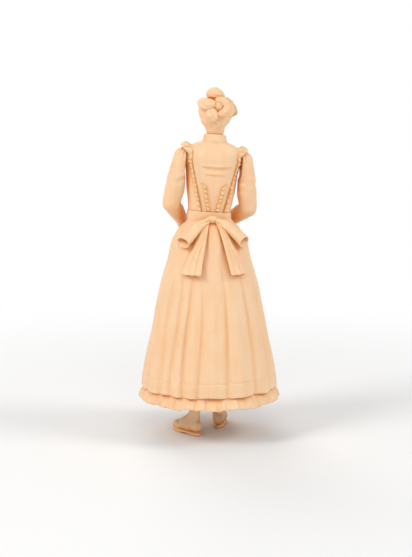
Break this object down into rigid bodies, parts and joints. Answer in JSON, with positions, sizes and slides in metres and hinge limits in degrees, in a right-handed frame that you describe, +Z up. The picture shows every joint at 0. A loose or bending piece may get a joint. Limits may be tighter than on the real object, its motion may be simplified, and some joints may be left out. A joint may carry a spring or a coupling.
{
  "type": "miniature doll",
  "caption": "Miniature doll: an unpainted resin figure of a maid in a long gathered skirt and frilled pinafore apron, with a turning head and swinging arms.",
  "frame": {"origin": "on the ground the shoes stand on, under the middle of the skirt's hem", "axes": "+Z up; the doll faces -Y and its own left side is +X"},
  "size_m": [0.0412, 0.0412, 0.1002],
  "materials": {
    "resin": "matte pale peach printed resin, slightly translucent, with faint layer lines"
  },
  "bodies": {
    "figure": {"hip_block": "resin", "skirt": "resin", "hem_ruffle": "resin", "apron_skirt": "resin", "waistband": "resin", "bow_knot": "resin", "bodice": "resin", "collar": "resin", "apron_bib": "resin", "left_apron_strap": "resin", "left_strap_frill": "resin", "left_back_frill": "resin", "left_bow_loop": "resin", "left_bow_tail": "resin", "left_shoe": "resin", "left_leg": "resin", "right_apron_strap": "resin", "right_strap_frill": "resin", "right_back_frill": "resin", "right_bow_loop": "resin", "right_bow_tail": "resin", "right_shoe": "resin", "right_leg": "resin"},
    "head_piece": {"head": "resin", "neck_pin": "resin", "hair_cap": "resin", "chignon": "resin", "hair_roll_left": "resin", "hair_roll_right": "resin", "topknot": "resin", "cap_frill": "resin"},
    "left_arm": {"left_shoulder_pin": "resin", "left_sleeve": "resin", "left_cuff": "resin", "left_hand": "resin"},
    "right_arm": {"right_shoulder_pin": "resin", "right_sleeve": "resin", "right_cuff": "resin", "right_hand": "resin"}
  },
  "joints": [
    {"name": "neck_turn", "type": "hinge", "parent": "figure", "child": "head_piece", "pos_m": [-0.00153, 0, 0.08494], "axis": [-0.0767, 0, 0.9971], "range_deg": [-22, 78]},
    {"name": "left_arm_swing", "type": "hinge", "parent": "figure", "child": "left_arm", "pos_m": [0.00757, 0, 0.08063], "axis": [-0.9971, 0, -0.0767], "range_deg": [0, 90]},
    {"name": "right_arm_swing", "type": "hinge", "parent": "figure", "child": "right_arm", "pos_m": [-0.00988, 0, 0.07928], "axis": [-0.9971, 0, -0.0767], "range_deg": [0, 90]}
  ]
}
